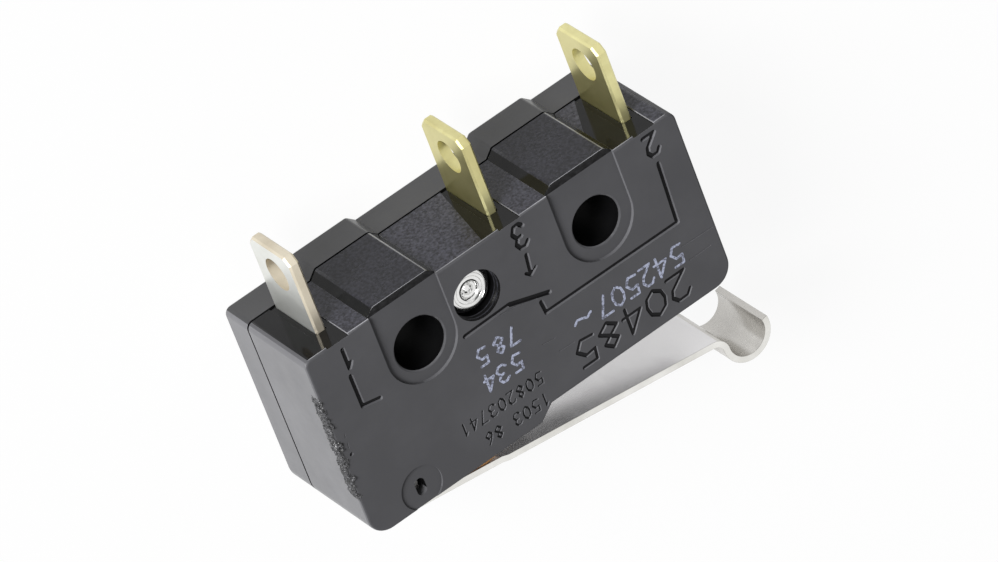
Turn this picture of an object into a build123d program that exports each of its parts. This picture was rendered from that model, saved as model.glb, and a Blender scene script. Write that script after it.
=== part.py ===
from build123d import *
from math import cos, radians, sin, sqrt
import os

# A miniature snap-action switch with three solder terminals and a hinge lever, its end bent into a round.
# Frame: the origin lies midway between the two mounting holes, on the back face.
# +Z comes out of the marked front face, +Y points to the lever side, +X to the lever's hinge.

os.makedirs("parts", exist_ok=True)

# Driving sizes of the case, in millimetres
case_length = 19.8
case_thickness = 6.4
case_shift = 0.1
hole_pitch = 9.5
hole_to_terminal_face = 2.68
hole_to_lever_face = 7.12
wall = 0.9
corner_radius_hinge_terminal = 0.35
corner_radius_hinge_lever = 1.0
corner_radius_far_lever = 1.0
corner_radius_far_terminal = 0.5
front_edge_radius = 0.12
parting_groove_depth = 0.14
parting_groove_height = 0.11

# The face under the lever's arm steps back, to give the arm room to swing
relief_depth = 0.6
relief_from_hinge_end = 9.05
relief_run = 0.75

# Mounting holes, the raised lands beside them and the shallow fields round them
hinge_hole_radius = 1.25
far_hole_radius = 1.175
hole_rim = 0.07
land_height = 0.38
land_half_width = 1.82
land_slope_run = 0.4
land_edge_radius = 0.2
field_radius = 1.8
field_depth = 0.17
land_lip_run = 0.45
land_lip_depth = 0.06

# Rivet that holds the cover on the case
rivet_offset_x = 3.14
rivet_offset_y = 0.49
rivet_recess_radius = 1.17
rivet_recess_depth = 0.95
rivet_head_radius = 0.98
rivet_head_height = 0.35
rivet_shank_radius = 0.6
rivet_clearance = 0.03
rivet_ring_radius = 0.54
rivet_ring_width = 0.12
rivet_ring_depth = 0.12
rivet_pip_radius = 0.24
rivet_pip_depth = 0.18
rivet_pip_slope = 30.0

# Terminals: flat blades, each with a hole for the wire
terminal_thickness = 0.5
terminal_width = 3.2
terminal_reach = 3.9
terminal_corner = 0.35
terminal_edge_bevel = 0.09
terminal_shift = 0.3
wire_hole_radius = 0.8
wire_hole_from_tip = 1.45
common_from_hinge_end = 1.79
open_from_hinge_hole = 5.7
closed_from_far_end = 1.58
slot_clearance = 0.03
lug_width = 0.35
lug_height = 0.8
lug_below_face = 0.4
strip_width = 1.14
strip_depth = 0.08

# Contacts
contact_from_closed = 1.92
contact_head_radius = 0.9
contact_head_height = 0.3
contact_shank_radius = 0.5
contact_peen = 0.12
moving_head_radius = 0.75
moving_head_height = 0.25
contact_gap = 0.5
contact_clearance = 0.02
leg_overhang = 1.0
leg_bend_radius = 0.3

# Moving blade, hinged at the end of the common terminal, and the snap spring in its window
blade_thickness = 0.2
blade_margin = 0.3
blade_side_gap = 0.1
blade_from_hinge_end = 4.6
blade_below_lever_face = 3.4
blade_heel = 0.4
blade_tip_overhang = 1.0
blade_tip_width = 2.0
window_width = 2.2
window_start = 0.45
window_before_contact = 3.8
seat_gap = 0.1
anvil_width = 1.6
anvil_height = 0.5
anvil_beyond_heel = 0.08
snap_thickness = 0.15
snap_width = 1.9
snap_end_gap = 0.05
snap_rise = 1.5
snap_fall = 0.1

# Plunger
plunger_from_hinge_end = 6.65
plunger_length = 1.75
plunger_width = 3.4
plunger_clearance = 0.05
plunger_tip_radius = 1.6
plunger_tip_gap = 0.03
flange_length = 2.5
flange_height = 0.85
flange_gap = 0.03
foot_length = 1.1
foot_width = 1.6
foot_above_blade = 1.05
foot_corner_radius = 0.33

# Lever: one strip of sheet, folded into two ears at the hinge and rolled at its far end
sheet = 0.3
lever_angle = 7.5
pivot_from_hinge_end = 2.85
pivot_below_lever_face = 0.9
pivot_to_arm = 1.654
arm_behind_pivot = 0.9
arm_reach = 15.85
bend_radius_inside = 0.45
roller_radius = 1.25
roller_wrap = 194.0
root_width = 3.4
arm_width = 3.6
root_length = 4.75
root_step_run = 0.3
roll_overlap = 0.4
ear_half_length = 0.85
ear_top_radius = 0.7
trunnion_length = 0.85
trunnion_width = 0.76
trunnion_thickness = 0.3
bearing_radius = 0.45
bearing_end_gap = 0.2
ear_clearance = 0.05
pocket_half_length = 1.7
pocket_above_pivot = 1.2
window_mark_radius = 1.04
window_mark_depth = 0.1
sight_slot_width = 0.5
sight_slot_height = 0.86

# Places that follow from the sizes above
hinge_hole_x = hole_pitch / 2
far_hole_x = -hole_pitch / 2
hinge_end_x = case_length / 2 + case_shift
far_end_x = hinge_end_x - case_length
terminal_face_y = -hole_to_terminal_face
land_face_y = terminal_face_y - land_height
lever_face_y = hole_to_lever_face
relief_face_y = lever_face_y - relief_depth
relief_start_x = hinge_end_x - relief_from_hinge_end
rivet_x = hinge_hole_x - rivet_offset_x
rivet_y = -rivet_offset_y
common_x = hinge_end_x - common_from_hinge_end
open_x = hinge_hole_x - open_from_hinge_hole
closed_x = far_end_x + closed_from_far_end
contact_x = closed_x + contact_from_closed
plunger_x = hinge_end_x - plunger_from_hinge_end
pivot_x = hinge_end_x - pivot_from_hinge_end
pivot_y = lever_face_y - pivot_below_lever_face
blade_pivot_x = hinge_end_x - blade_from_hinge_end
blade_pivot_y = lever_face_y - blade_below_lever_face
window_far_x = contact_x + window_before_contact
foot_end = blade_pivot_y + foot_above_blade

# The halves of the case meet along the back edges of the terminals, which stand a little forward
middle_z = case_thickness / 2
contact_z = middle_z + terminal_shift
terminal_back_z = contact_z - terminal_width / 2
terminal_front_z = contact_z + terminal_width / 2
lug_front_z = terminal_front_z + lug_width
cover_thickness = terminal_back_z
blade_width = terminal_width + 2 * blade_margin
chamber_front_z = contact_z + blade_width / 2 + blade_side_gap

# Heights of the mechanism, measured along Y from the blade outwards
moving_low_y = blade_pivot_y - blade_thickness / 2 - moving_head_height
moving_high_y = blade_pivot_y + blade_thickness / 2 + moving_head_height
open_contact_y = moving_low_y - contact_gap
closed_contact_y = moving_high_y + contact_clearance
open_leg_y = open_contact_y - contact_head_height - terminal_thickness / 2
closed_leg_y = closed_contact_y + contact_head_height + terminal_thickness / 2
common_leg_y = blade_pivot_y - blade_thickness / 2 - seat_gap - terminal_thickness / 2

# The arm's middle line runs past the pivot at this distance, along these two directions
arm_offset = pivot_to_arm + sheet / 2
arm_along = Vector(-cos(radians(lever_angle)), sin(radians(lever_angle)))
arm_across = Vector(sin(radians(lever_angle)), cos(radians(lever_angle)))
pivot = Vector(pivot_x, pivot_y)


def arm_point(distance, offset=arm_offset):
    """Point of the lever's arm, a distance along it from the pivot and an offset beside it."""
    return pivot + arm_across * offset + arm_along * distance


# Outline of the case in front view, shared by both halves
with BuildSketch() as case_outline:
    with BuildLine():
        corners = [(hinge_end_x, terminal_face_y)]
        for hole_x in (hinge_hole_x, far_hole_x):
            corners += [
                (hole_x + land_half_width, terminal_face_y),
                (hole_x + land_half_width - land_slope_run, land_face_y),
                (hole_x - land_half_width + land_slope_run, land_face_y),
                (hole_x - land_half_width, terminal_face_y),
            ]
        corners += [
            (far_end_x, terminal_face_y),
            (far_end_x, relief_face_y),
            (relief_start_x - relief_run, relief_face_y),
            (relief_start_x, lever_face_y),
            (hinge_end_x, lever_face_y),
        ]
        Polyline(*corners, close=True)
    make_face()
    fillet(case_outline.vertices().group_by(Axis.Y)[0], land_edge_radius)
    for corner, radius in (
        ((hinge_end_x, terminal_face_y), corner_radius_hinge_terminal),
        ((hinge_end_x, lever_face_y), corner_radius_hinge_lever),
        ((far_end_x, terminal_face_y), corner_radius_far_terminal),
        ((far_end_x, relief_face_y), corner_radius_far_lever),
    ):
        fillet(case_outline.vertices().sort_by_distance(corner)[0], radius)

# The same outline, drawn in a little, for the groove that shows where the halves meet
with BuildSketch() as groove_outline:
    add(case_outline.sketch)
    offset(amount=-parting_groove_depth, kind=Kind.INTERSECTION)

# Hollow for the mechanism, with the pocket for the lever's ears left out
chamber_low_y = open_leg_y - terminal_thickness / 2 - leg_bend_radius - slot_clearance
chamber_high_y = relief_face_y - wall
chamber_hinge_x = common_x + terminal_thickness / 2 + slot_clearance
chamber_far_x = closed_x - terminal_thickness / 2 - slot_clearance
partition_y = pivot_y - pocket_above_pivot - wall
plunger_room_x = plunger_x + flange_length / 2 + plunger_clearance
plunger_room_y = lever_face_y - wall
with BuildSketch() as chamber_outline:
    with BuildLine():
        Polyline(
            (chamber_far_x, chamber_low_y),
            (chamber_hinge_x, chamber_low_y),
            (chamber_hinge_x, partition_y),
            (plunger_room_x, partition_y),
            (plunger_room_x, plunger_room_y),
            (plunger_x - flange_length / 2 - plunger_clearance, plunger_room_y),
            (plunger_x - flange_length / 2 - plunger_clearance, chamber_high_y),
            (chamber_far_x, chamber_high_y),
            close=True,
        )
    make_face()

# Slots that the terminals slide into, with a side pocket for the lug that keeps each in place
with BuildSketch() as slot_outline:
    slot_width = terminal_thickness + 2 * slot_clearance
    for slot_x in (common_x, open_x, closed_x):
        with Locations((slot_x, land_face_y)):
            Rectangle(slot_width, chamber_low_y - land_face_y, align=(Align.CENTER, Align.MIN))

# Mouth for the ears of the lever
with BuildSketch() as pocket_outline:
    with Locations((pivot_x, pivot_y - pocket_above_pivot)):
        Rectangle(
            2 * pocket_half_length,
            lever_face_y - pivot_y + pocket_above_pivot,
            align=(Align.CENTER, Align.MIN),
        )
pocket_depth = root_width / 2 + ear_clearance
bearing_depth = root_width / 2 + trunnion_length + bearing_end_gap

# Guide for the plunger
with BuildSketch() as guide_outline:
    with Locations((plunger_x, plunger_room_y)):
        Rectangle(
            plunger_length + 2 * plunger_clearance,
            wall,
            align=(Align.CENTER, Align.MIN),
        )
guide_half_width = plunger_width / 2 + plunger_clearance

# Front half of the case
with BuildPart() as front_case:
    with BuildSketch(Plane.XY.offset(cover_thickness)):
        add(case_outline.sketch)
    extrude(amount=case_thickness - cover_thickness)
    front_rim = front_case.faces().sort_by(Axis.Z)[-1].outer_wire().edges()
    fillet(front_rim, front_edge_radius)
    with BuildSketch(Plane.XY.offset(cover_thickness)):
        add(chamber_outline.sketch)
    extrude(amount=chamber_front_z - cover_thickness, mode=Mode.SUBTRACT)
    with BuildSketch(Plane.XY.offset(cover_thickness)):
        add(slot_outline.sketch)
    extrude(amount=terminal_width + slot_clearance, mode=Mode.SUBTRACT)
    with BuildSketch(Plane.XY.offset(cover_thickness)):
        for slot_x in (common_x, open_x, closed_x):
            with Locations((slot_x, terminal_face_y + lug_below_face - slot_clearance)):
                Rectangle(slot_width, lug_height + 2 * slot_clearance, align=(Align.CENTER, Align.MIN))
    extrude(amount=terminal_width + lug_width + slot_clearance, mode=Mode.SUBTRACT)
    with BuildSketch(Plane.XY.offset(cover_thickness)):
        add(pocket_outline.sketch)
    extrude(amount=middle_z + pocket_depth - cover_thickness, mode=Mode.SUBTRACT)
    with BuildSketch(Plane.XY.offset(cover_thickness)):
        add(guide_outline.sketch)
    extrude(amount=middle_z + guide_half_width - cover_thickness, mode=Mode.SUBTRACT)
    # Bearing for the lever's front trunnion, with a slot through the skin that shows its end
    with BuildSketch(Plane.XY.offset(middle_z + pocket_depth)):
        with Locations((pivot_x, pivot_y)):
            Circle(bearing_radius)
    extrude(amount=bearing_depth - pocket_depth, mode=Mode.SUBTRACT)
    with BuildSketch(Plane.XY.offset(case_thickness)):
        with Locations((pivot_x, pivot_y)):
            SlotOverall(sight_slot_height, sight_slot_width, rotation=90)
    extrude(amount=-(case_thickness - middle_z - bearing_depth), mode=Mode.SUBTRACT)
    with BuildSketch(Plane.XY.offset(case_thickness)):
        with Locations((pivot_x, pivot_y)):
            Circle(window_mark_radius)
    extrude(amount=-window_mark_depth, mode=Mode.SUBTRACT)
    # Shallow field round each mounting hole, open towards the terminals
    with BuildSketch(Plane.XY.offset(case_thickness)):
        for hole_x in (hinge_hole_x, far_hole_x):
            with Locations((hole_x, 0)):
                Circle(field_radius)
            with Locations((hole_x, 0)):
                Rectangle(
                    2 * field_radius,
                    -(land_face_y + land_lip_run),
                    align=(Align.CENTER, Align.MAX),
                )
    extrude(amount=-field_depth, mode=Mode.SUBTRACT)
    # From the floor of each field a slope rises to the front edge of the land
    with BuildSketch(Plane.YZ.offset(hinge_hole_x + field_radius)) as lip_slope:
        with BuildLine():
            field_z = case_thickness - field_depth
            Polyline(
                (land_face_y, case_thickness),
                (land_face_y, case_thickness - land_lip_depth),
                (land_face_y + land_lip_run, field_z),
                (land_face_y + land_lip_run, case_thickness),
                close=True,
            )
        make_face()
    extrude(amount=-2 * field_radius, mode=Mode.SUBTRACT)
    with BuildSketch(Plane.YZ.offset(far_hole_x + field_radius)):
        add(lip_slope.sketch_local)
    extrude(amount=-2 * field_radius, mode=Mode.SUBTRACT)
    # Shallow strip across the terminal face at each terminal
    with BuildSketch(Plane.XZ.offset(-land_face_y)):
        for slot_x in (common_x, open_x, closed_x):
            with Locations((slot_x, cover_thickness)):
                Rectangle(
                    strip_width,
                    case_thickness - cover_thickness,
                    align=(Align.CENTER, Align.MIN),
                )
    extrude(amount=-(land_height + strip_depth), mode=Mode.SUBTRACT)
    with Locations((hinge_hole_x, 0, case_thickness)):
        Hole(hinge_hole_radius)
    with Locations((far_hole_x, 0, case_thickness)):
        Hole(far_hole_radius)
    with Locations((rivet_x, rivet_y, case_thickness)):
        CounterBoreHole(rivet_shank_radius + rivet_clearance, rivet_recess_radius, rivet_recess_depth)
    rims = front_case.edges().filter_by(GeomType.CIRCLE)
    rims = rims.filter_by_position(Axis.Z, field_z - field_depth / 2, field_z + field_depth / 2)
    hole_rims = [rim for rim in rims if rim.radius in (hinge_hole_radius, far_hole_radius)]
    chamfer(hole_rims, hole_rim)
front_case.part.label = "front_case"

# Back half, a cover with its own share of the hollow
with BuildPart() as back_cover:
    with BuildSketch():
        add(case_outline.sketch)
    extrude(amount=cover_thickness - parting_groove_height)
    back_rim = back_cover.faces().sort_by(Axis.Z)[0].outer_wire().edges()
    fillet(back_rim, front_edge_radius)
    with BuildSketch(Plane.XY.offset(cover_thickness - parting_groove_height)):
        add(groove_outline.sketch)
    extrude(amount=parting_groove_height)
    with BuildSketch(Plane.XY.offset(cover_thickness)):
        add(chamber_outline.sketch)
    extrude(amount=-(cover_thickness - wall), mode=Mode.SUBTRACT)
    with BuildSketch(Plane.XY.offset(cover_thickness)):
        add(pocket_outline.sketch)
    extrude(amount=-(cover_thickness - middle_z + pocket_depth), mode=Mode.SUBTRACT)
    with BuildSketch(Plane.XY.offset(cover_thickness)):
        add(guide_outline.sketch)
    extrude(amount=-(cover_thickness - middle_z + guide_half_width), mode=Mode.SUBTRACT)
    with BuildSketch(Plane.XY.offset(middle_z - pocket_depth)):
        with Locations((pivot_x, pivot_y)):
            Circle(bearing_radius)
    extrude(amount=pocket_depth - bearing_depth, mode=Mode.SUBTRACT)
    with Locations((hinge_hole_x, 0, cover_thickness)):
        Hole(hinge_hole_radius)
    with Locations((far_hole_x, 0, cover_thickness)):
        Hole(far_hole_radius)
    with BuildSketch():
        with Locations((rivet_x, rivet_y)):
            Circle(rivet_recess_radius)
    extrude(amount=rivet_recess_depth - rivet_head_height, mode=Mode.SUBTRACT)
    with Locations((rivet_x, rivet_y, cover_thickness)):
        Hole(rivet_shank_radius + rivet_clearance)
    back_circles = back_cover.edges().filter_by(GeomType.CIRCLE).group_by(Axis.Z)[0]
    hole_sizes = (hinge_hole_radius, far_hole_radius)
    back_rims = [circle for circle in back_circles if circle.radius in hole_sizes]
    chamfer(back_rims, hole_rim)
back_cover.part.label = "back_cover"

# Rivet: flat head at the back, peened and hollowed head at the front
rivet_front_z = case_thickness - rivet_recess_depth
rivet_back_z = rivet_recess_depth - rivet_head_height
with BuildPart() as rivet:
    with BuildSketch(Plane.XY.offset(rivet_back_z)):
        with Locations((rivet_x, rivet_y)):
            Circle(rivet_shank_radius)
    extrude(amount=rivet_front_z - rivet_back_z)
    for head_z, head_way in ((rivet_front_z, 1), (rivet_back_z, -1)):
        with BuildSketch(Plane.XY.offset(head_z)):
            with Locations((rivet_x, rivet_y)):
                Circle(rivet_head_radius)
        extrude(amount=head_way * rivet_head_height)
    fillet(rivet.edges().group_by(Axis.Z)[-1], rivet_head_height / 2)
    with BuildSketch(Plane.XY.offset(rivet_front_z + rivet_head_height)):
        with Locations((rivet_x, rivet_y)):
            Circle(rivet_ring_radius + rivet_ring_width / 2)
            Circle(rivet_ring_radius - rivet_ring_width / 2, mode=Mode.SUBTRACT)
    extrude(amount=-rivet_ring_depth, mode=Mode.SUBTRACT)
    with BuildSketch(Plane.XY.offset(rivet_front_z + rivet_head_height)):
        with Locations((rivet_x, rivet_y)):
            Circle(rivet_pip_radius)
    extrude(amount=-rivet_pip_depth, mode=Mode.SUBTRACT, taper=rivet_pip_slope)
rivet.part.label = "rivet"


def terminal_blade(place_x, reach_in):
    """Flat blade from its bevelled tip to a depth inside the case, standing in the case's slot."""
    tip_y = terminal_face_y - terminal_reach
    with BuildPart(mode=Mode.PRIVATE) as blade:
        with BuildSketch(Plane.YZ.offset(place_x - terminal_thickness / 2)):
            with BuildLine():
                Polyline(
                    (tip_y, terminal_back_z + terminal_corner),
                    (tip_y + terminal_corner, terminal_back_z),
                    (reach_in, terminal_back_z),
                    (reach_in, terminal_front_z),
                    (terminal_face_y + lug_below_face + lug_height, terminal_front_z),
                    (terminal_face_y + lug_below_face + lug_height, lug_front_z),
                    (terminal_face_y + lug_below_face, lug_front_z),
                    (terminal_face_y + lug_below_face, terminal_front_z),
                    (tip_y + terminal_corner, terminal_front_z),
                    (tip_y, terminal_front_z - terminal_corner),
                    close=True,
                )
            make_face()
            with Locations((tip_y + wire_hole_from_tip, contact_z)):
                Circle(wire_hole_radius, mode=Mode.SUBTRACT)
        extrude(amount=terminal_thickness)
        outside = blade.edges().filter_by_position(Axis.Y, tip_y - terminal_corner, terminal_face_y)
        straight = outside.filter_by(GeomType.LINE)
        chamfer(straight - straight.filter_by(Axis.X), terminal_edge_bevel)
    return blade.part


def bent_terminal(place_x, leg_y, leg_end_x, hole_x=None):
    """Terminal whose inner end is bent towards the far end, into a leg that can carry a contact."""
    leg_top_y = leg_y + terminal_thickness / 2
    blade = terminal_blade(place_x, leg_top_y)
    corner_x = place_x + terminal_thickness / 2
    with BuildPart(mode=Mode.PRIVATE) as bent:
        add(blade)
        with BuildSketch(Plane.XY.offset(terminal_back_z)):
            with Locations((corner_x, leg_top_y)):
                Rectangle(corner_x - leg_end_x, terminal_thickness, align=(Align.MAX, Align.MAX))
        extrude(amount=terminal_width)
        upright = bent.edges().filter_by(Axis.Z)
        outer_bend = upright.sort_by_distance((corner_x, leg_top_y, middle_z))[0]
        fillet(outer_bend, leg_bend_radius + terminal_thickness)
        upright = bent.edges().filter_by(Axis.Z)
        inner_point = (corner_x - terminal_thickness, leg_top_y - terminal_thickness, middle_z)
        fillet(upright.sort_by_distance(inner_point)[0], leg_bend_radius)
        if hole_x is not None:
            with BuildSketch(Plane.XZ.offset(-leg_y - terminal_thickness)):
                with Locations((hole_x, contact_z)):
                    Circle(contact_shank_radius)
            extrude(amount=2 * terminal_thickness, mode=Mode.SUBTRACT)
    return bent.part


# Common terminal: its leg ends in an upright anvil that stands in the blade's window
anvil_x = blade_pivot_x - window_start - snap_end_gap - anvil_beyond_heel
common_body = bent_terminal(common_x, common_leg_y, anvil_x - terminal_thickness)
with BuildPart() as com_terminal:
    add(common_body)
    with BuildSketch(Plane.XZ.offset(-common_leg_y)):
        with Locations((anvil_x, contact_z)):
            Rectangle(terminal_thickness, anvil_width, align=(Align.MAX, Align.CENTER))
    extrude(amount=-(terminal_thickness / 2 + anvil_height))
com_terminal.part.label = "com_terminal"

# Normally open terminal, its contact facing the blade from the terminal side
open_body = bent_terminal(open_x, open_leg_y, contact_x - leg_overhang, contact_x)
with BuildPart() as no_terminal:
    add(open_body)
no_terminal.part.label = "no_terminal"

# Normally closed terminal, bent back over the blade's tip from the far end
closed_reach = closed_leg_y + terminal_thickness / 2
closed_blade = terminal_blade(closed_x, closed_reach)
with BuildPart() as nc_terminal:
    add(closed_blade)
    with BuildSketch(Plane.XY.offset(terminal_back_z)):
        with Locations((closed_x - terminal_thickness / 2, closed_reach)):
            Rectangle(
                contact_x + leg_overhang - closed_x + terminal_thickness / 2,
                terminal_thickness,
                align=(Align.MIN, Align.MAX),
            )
    extrude(amount=terminal_width)
    upright_edges = nc_terminal.edges().filter_by(Axis.Z)
    closed_corner = (closed_x - terminal_thickness / 2, closed_reach, middle_z)
    fillet(upright_edges.sort_by_distance(closed_corner)[0], leg_bend_radius + terminal_thickness)
    upright_edges = nc_terminal.edges().filter_by(Axis.Z)
    inner_corner = (closed_x + terminal_thickness / 2, closed_reach - terminal_thickness, middle_z)
    fillet(upright_edges.sort_by_distance(inner_corner)[0], leg_bend_radius)
    with BuildSketch(Plane.XZ.offset(-closed_leg_y - terminal_thickness)):
        with Locations((contact_x, contact_z)):
            Circle(contact_shank_radius)
    extrude(amount=2 * terminal_thickness, mode=Mode.SUBTRACT)
nc_terminal.part.label = "nc_terminal"


def contact_rivet(leg_y, facing):
    """Domed contact on a leg, with its shank through the leg and peened behind it; facing is along Y."""
    face = Plane((contact_x, leg_y, contact_z), x_dir=(1, 0, 0), z_dir=(0, facing, 0))
    with BuildPart(mode=Mode.PRIVATE) as contact:
        with BuildSketch(face.offset(terminal_thickness / 2)):
            Circle(contact_head_radius)
        extrude(amount=contact_head_height)
        crown = contact.faces().filter_by(Axis.Y).sort_by_distance((contact_x, leg_y, contact_z))[-1]
        chamfer(crown.edges(), contact_head_height / 3)
        with BuildSketch(face.offset(-terminal_thickness / 2)):
            Circle(contact_shank_radius)
        extrude(amount=terminal_thickness)
        with BuildSketch(face.offset(-terminal_thickness / 2)):
            Circle(contact_shank_radius + contact_peen)
        extrude(amount=-contact_peen)
    return contact.part


open_contact = contact_rivet(open_leg_y, 1)
with BuildPart() as no_contact:
    add(open_contact)
no_contact.part.label = "no_contact"

closed_contact = contact_rivet(closed_leg_y, -1)
with BuildPart() as nc_contact:
    add(closed_contact)
nc_contact.part.label = "nc_contact"

# Moving blade: a flat spring with a window, tapering to the tip that carries the moving contact
blade_tip_x = contact_x - blade_tip_overhang
with BuildPart() as moving_blade:
    with BuildSketch(Plane.XZ.offset(-blade_pivot_y - blade_thickness / 2)):
        with BuildLine():
            half_width = blade_width / 2
            half_tip = blade_tip_width / 2
            Polyline(
                (blade_pivot_x + blade_heel, contact_z - half_width),
                (blade_pivot_x + blade_heel, contact_z + half_width),
                (window_far_x, contact_z + half_width),
                (contact_x, contact_z + half_tip),
                (blade_tip_x, contact_z + half_tip),
                (blade_tip_x, contact_z - half_tip),
                (contact_x, contact_z - half_tip),
                (window_far_x, contact_z - half_width),
                close=True,
            )
        make_face()
        with Locations(((blade_pivot_x - window_start + window_far_x) / 2, contact_z)):
            RectangleRounded(
                blade_pivot_x - window_start - window_far_x,
                window_width,
                terminal_corner,
                mode=Mode.SUBTRACT,
            )
        with Locations((contact_x, contact_z)):
            Circle(contact_shank_radius, mode=Mode.SUBTRACT)
    extrude(amount=blade_thickness)
moving_blade.part.label = "moving_blade"

# Moving contact: one rivet with a head on each side of the blade
with BuildPart() as moving_contact:
    with BuildSketch(Plane.XZ.offset(-blade_pivot_y - blade_thickness / 2)):
        with Locations((contact_x, contact_z)):
            Circle(contact_shank_radius)
    extrude(amount=blade_thickness)
    for side in (1, -1):
        with BuildSketch(Plane.XZ.offset(-blade_pivot_y - side * blade_thickness / 2)):
            with Locations((contact_x, contact_z)):
                Circle(moving_head_radius)
        extrude(amount=-side * moving_head_height)
    crowns = moving_contact.edges().group_by(Axis.Y)
    chamfer(crowns[0] + crowns[-1], moving_head_height / 3)
moving_contact.part.label = "moving_contact"

# Snap spring: a narrow leaf arched from the anvil, under the plunger's foot, to the window's far end
with BuildPart() as snap_spring:
    with BuildSketch(Plane.XY.offset(contact_z - snap_width / 2)):
        with BuildLine():
            crest = (plunger_x, foot_end - plunger_tip_gap - snap_thickness / 2)
            Spline(
                (anvil_x - terminal_thickness - snap_end_gap, blade_pivot_y + blade_thickness),
                crest,
                tangents=((-1, snap_rise), (-1, 0)),
            )
            Spline(
                crest,
                (window_far_x + snap_end_gap, blade_pivot_y),
                tangents=((-1, 0), (-1, -snap_fall)),
            )
        trace(line_width=snap_thickness)
    extrude(amount=snap_width)
snap_spring.part.label = "snap_spring"

# Plunger: round tip through the case's guide, a flange that stops it inside, and a foot on the snap spring
tip_centre_reach = pivot_to_arm - plunger_tip_gap - plunger_tip_radius
tip_centre_y = pivot_y + (tip_centre_reach - (plunger_x - pivot_x) * arm_across.X) / arm_across.Y
tip_half = plunger_length / 2
tip_shoulder_y = tip_centre_y + sqrt(plunger_tip_radius**2 - tip_half**2)
flange_top_y = plunger_room_y - flange_gap
with BuildPart() as plunger:
    with BuildSketch(Plane.XY.offset(middle_z - plunger_width / 2)):
        with BuildLine():
            stem_start_y = flange_top_y - flange_height / 2
            Polyline(
                (plunger_x - tip_half, tip_shoulder_y),
                (plunger_x - tip_half, stem_start_y),
                (plunger_x + tip_half, stem_start_y),
                (plunger_x + tip_half, tip_shoulder_y),
            )
            ThreePointArc(
                (plunger_x + tip_half, tip_shoulder_y),
                (plunger_x, tip_centre_y + plunger_tip_radius),
                (plunger_x - tip_half, tip_shoulder_y),
            )
        make_face()
    extrude(amount=plunger_width)
    with BuildSketch(Plane.XY.offset(middle_z - plunger_width / 2)):
        with Locations((plunger_x, flange_top_y)):
            Rectangle(flange_length, flange_height, align=(Align.CENTER, Align.MAX))
    extrude(amount=plunger_width)
    with BuildSketch(Plane.XY.offset(middle_z - foot_width / 2)):
        with Locations((plunger_x, foot_end)):
            foot_height = flange_top_y - flange_height - foot_end
            Rectangle(foot_length, foot_height, align=(Align.CENTER, Align.MIN))
    extrude(amount=foot_width)
    foot_edges = plunger.edges().filter_by(Axis.Z).group_by(Axis.Y)[0]
    fillet(foot_edges, foot_corner_radius)
plunger.part.label = "plunger"

# Lever: its section in side view, from the root behind the pivot to the rolled end
bend_middle = bend_radius_inside + sheet / 2
roller_middle = roller_radius - sheet / 2
arm_end = arm_point(arm_reach)
bend_centre = arm_end + arm_across * bend_middle
roller_centre = Vector(bend_centre.X - bend_middle - roller_middle, bend_centre.Y)


# Plan of the flat arm, drawn on its inner face: a narrower root widens to the full width past the case
arm_start = arm_point(0, pivot_to_arm)
arm_plane = Plane(
    (arm_start.X, arm_start.Y, middle_z),
    x_dir=(arm_along.X, arm_along.Y, 0),
    z_dir=(arm_across.X, arm_across.Y, 0),
)
with BuildPart() as lever:
    with BuildSketch(arm_plane):
        with BuildLine():
            half_root = root_width / 2
            half_arm = arm_width / 2
            Polyline(
                (-arm_behind_pivot, half_root),
                (root_length, half_root),
                (root_length + root_step_run, half_arm),
                (arm_reach, half_arm),
                (arm_reach, -half_arm),
                (root_length + root_step_run, -half_arm),
                (root_length, -half_root),
                (-arm_behind_pivot, -half_root),
                close=True,
            )
        make_face()
    extrude(amount=sheet)
    with BuildSketch(Plane.XY.offset(middle_z - half_arm)):
        with BuildLine():
            Line(arm_point(arm_reach - roll_overlap), arm_end)
            CenterArc(bend_centre, bend_middle, 270 - lever_angle, lever_angle - 90)
            CenterArc(roller_centre, roller_middle, 0, roller_wrap)
        trace(line_width=sheet)
    extrude(amount=arm_width)
    # Ears, folded up from both edges of the root, with the trunnions turned out of them
    for side in (1, -1):
        ear_face = Plane.XY.offset(middle_z + side * root_width / 2)
        with BuildSketch(ear_face):
            with BuildLine():
                Polyline(
                    arm_point(-arm_behind_pivot),
                    arm_point(-ear_half_length, pivot_to_arm - sheet),
                    pivot + Vector(ear_top_radius, 0),
                    pivot + Vector(0, -ear_top_radius),
                    pivot + Vector(-ear_top_radius, 0),
                    arm_point(2 * ear_half_length),
                    close=True,
                )
            make_face()
            with Locations(pivot):
                Circle(ear_top_radius)
        extrude(amount=-side * sheet)
        with BuildSketch(ear_face):
            with Locations(pivot):
                Rectangle(trunnion_thickness, trunnion_width)
        extrude(amount=side * trunnion_length)
lever.part.label = "lever"

for built in (
    front_case,
    back_cover,
    rivet,
    com_terminal,
    no_terminal,
    nc_terminal,
    no_contact,
    nc_contact,
    moving_blade,
    moving_contact,
    snap_spring,
    plunger,
    lever,
):
    export_step(built.part, f"parts/{built.part.label}.step")
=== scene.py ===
import bpy
import bmesh
import math
from mathutils import Matrix, Vector, noise


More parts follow.
